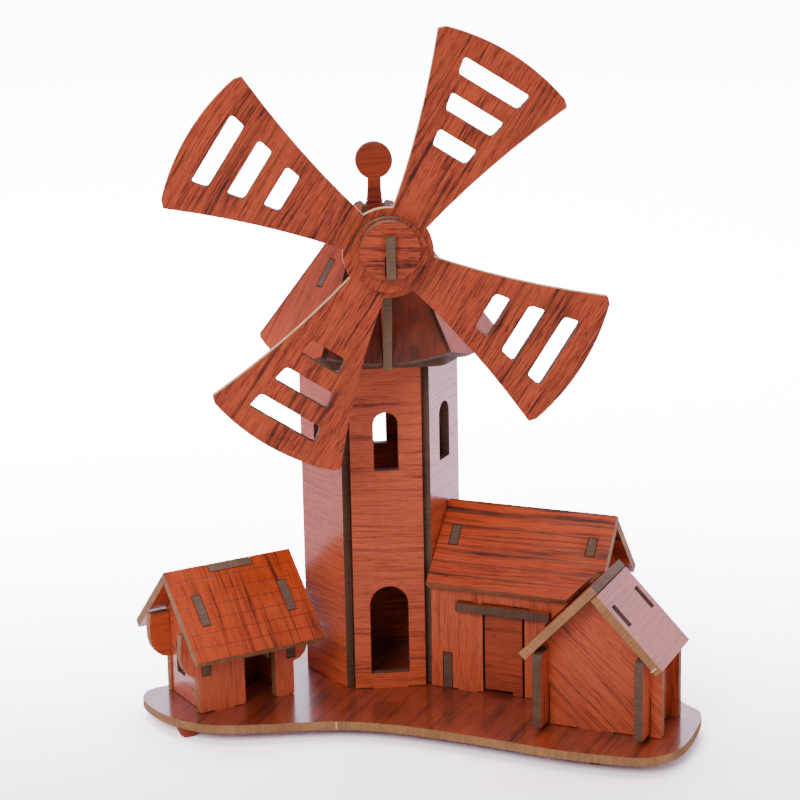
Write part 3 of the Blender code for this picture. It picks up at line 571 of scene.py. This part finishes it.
def chip_finish():
    """Bare pale core where the print has chipped off."""
    material = bpy.data.materials.get("pale_core")
    if material:
        return material
    material, g, shader = new_material("pale_core")
    texture = g.add("ShaderNodeTexCoord")
    grain = g.noise(g.scaled(texture.outputs["Object"], (1500.0, 1500.0, 1500.0)), 2.0)
    g.put(shader.inputs["Base Color"], g.mix(grain, CORE_LIGHT, CORE_DARK))
    g.put(shader.inputs["Roughness"], 0.7)
    return material


# Stage -------------------------------------------------------------------

FLOOR_TONE = (0.80, 0.79, 0.82, 1.0)
FLOOR_NEAR = (2.2, 1.95, 2.25, 1.0)    # the sweep is overexposed, more so far back
FLOOR_FAR = (9.5, 8.9, 10.0, 1.0)
FLOOR_GLEAM = (2.6, 2.4, 2.9, 1.0)     # what the boards mirror behind the model
FLOOR_DUSK = (0.16, 0.14, 0.15, 1.0)   # and in front of it, where the room is dim
FLOOR_EXTENT = 8.0      # metres to the front and to each side


def sweep_mesh():
    """Floor that curves up far behind the object.

    The section is a straight run, then a quarter circle, then a wall.
    """
    reach, radius, height = 1.6, 1.2, 3.0
    run = np.linspace(-FLOOR_EXTENT, reach, 16)
    angle = np.linspace(0.0, math.pi / 2, 24)[1:]
    wall = np.linspace(radius, height, 8)[1:]
    y = np.concatenate((run, reach + radius * np.sin(angle), np.full(len(wall), reach + radius)))
    z = np.concatenate((np.zeros(len(run)), radius * (1 - np.cos(angle)), wall))
    x = np.linspace(-FLOOR_EXTENT, FLOOR_EXTENT, 9)
    points = np.stack((
        np.repeat(x, len(y)), np.tile(y, len(x)), np.tile(z, len(x))), -1)
    mesh = bpy.data.meshes.new("floor")
    mesh.from_pydata(points.tolist(), [], grid_quads(len(x), len(y)).tolist())
    mesh.shade_smooth()
    return mesh


def build_floor():
    """Pale sweep, overexposed where it is looked at directly."""
    mesh = sweep_mesh()
    floor = bpy.data.objects.new("floor", mesh)
    bpy.context.collection.objects.link(floor)
    material, g, unused_shader = new_material("pale_sweep")
    g.tree.nodes.remove(unused_shader)
    path = g.add("ShaderNodeLightPath")
    matt = g.add("ShaderNodeBsdfDiffuse")
    depth = g.split(g.add("ShaderNodeTexCoord").outputs["Object"])[1]
    gleam = g.mix(g.span(depth, -0.06, 0.10), FLOOR_DUSK, FLOOR_GLEAM)
    glossy = g.mix(path.outputs["Is Glossy Ray"], FLOOR_TONE, gleam)
    seen = g.mix(g.span(depth, -0.14, 0.40), FLOOR_NEAR, FLOOR_FAR)
    g.put(matt.inputs["Color"], g.mix(path.outputs["Is Camera Ray"], glossy, seen))
    g.put(g.tree.nodes["Material Output"].inputs["Surface"], matt.outputs[0])
    mesh.materials.append(material)


WHITE = (1.0, 1.0, 1.0)
KEY_TINT = (1.0, 0.98, 0.95)
FILL_TINT = (0.96, 0.95, 1.0)
FRONT_GLOOM = (0.32, 0.31, 0.34, 1.0)
BACK_GLOW = (1.9, 1.8, 2.05, 1.0)


def lamp(name, place, target, size, power, tint=WHITE):
    """Square soft light aimed at a point."""
    light = bpy.data.lights.new(name, "AREA")
    light.size = size
    light.energy = power
    light.color = tint
    item = bpy.data.objects.new(name, light)
    bpy.context.collection.objects.link(item)
    item.location = place
    aim = Vector(target) - Vector(place)
    item.rotation_euler = aim.to_track_quat("-Z", "Y").to_euler()


def light_stage():
    """Soft box above, key at the front left, weak fill on the right, bright room behind."""
    centre = (0.0, 0.0, 0.10)
    lamp("top_box", (-0.1, 0.45, 1.5), centre, 1.2, 17.0)
    lamp("key_left", (-0.8, -1.5, 1.3), centre, 0.9, 28.0, KEY_TINT)
    lamp("fill_right", (1.3, -1.1, 0.5), centre, 1.2, 5.0, FILL_TINT)
    lamp("sweep_light", (0.0, 1.2, 1.8), (0.0, 2.6, 0.5), 2.0, 26.0)
    world = bpy.data.worlds.new("studio")
    bpy.context.scene.world = world
    world.use_nodes = True
    g = Graph(world.node_tree)
    background = world.node_tree.nodes["Background"]
    direction = g.split(g.add("ShaderNodeTexCoord").outputs["Generated"])
    behind = g.span(direction[1], -0.15, 0.55)
    g.put(background.inputs["Color"], g.mix(behind, FRONT_GLOOM, BACK_GLOW))
    background.inputs["Strength"].default_value = 1.0


CAMERA_AIM = Vector((0.00038, 0.02975, 0.10336))
CAMERA_DISTANCE = 0.8953
CAMERA_ANGLES = (-5.23, 15.17, -1.14)   # azimuth, elevation and roll, degrees
CAMERA_LENS = 116.3


def place_camera():
    """Long lens, slightly above and to the left of the front."""
    azimuth, elevation, roll = (math.radians(angle) for angle in CAMERA_ANGLES)
    back = Vector((math.sin(azimuth) * math.cos(elevation),
                   -math.cos(azimuth) * math.cos(elevation), math.sin(elevation)))
    data = bpy.data.cameras.new("camera")
    data.lens = CAMERA_LENS
    data.sensor_width = 36.0
    data.clip_start = 0.05
    data.clip_end = 20.0
    camera = bpy.data.objects.new("camera", data)
    bpy.context.collection.objects.link(camera)
    right = UP.cross(back).normalized()
    upward = back.cross(right)
    turned_right = right * math.cos(roll) + upward * math.sin(roll)
    turned_up = upward * math.cos(roll) - right * math.sin(roll)
    pose = Matrix((turned_right, turned_up, back)).transposed().to_4x4()
    pose.translation = CAMERA_AIM + back * CAMERA_DISTANCE
    camera.matrix_world = pose
    bpy.context.scene.camera = camera


place_camera()
dress_base()
dress_mill()
dress_cottage()
dress_barn()
dress_shed()
hub_chip("chip_upper", 42.0, 12.9, 1.6)
hub_chip("chip_lower", 214.0, 13.2, 3.4)
tab_stub("stub_rim", RIM_TAB, RIM_NORMAL.normalized(), UP, 2.6)
tab_stub("stub_eave", EAVE_TAB, level(FARM_BEARING - 90.0),
         uphill(FARM_BEARING, 90.0 - SHED_SLOPE), 2.4)
build_floor()
light_stage()
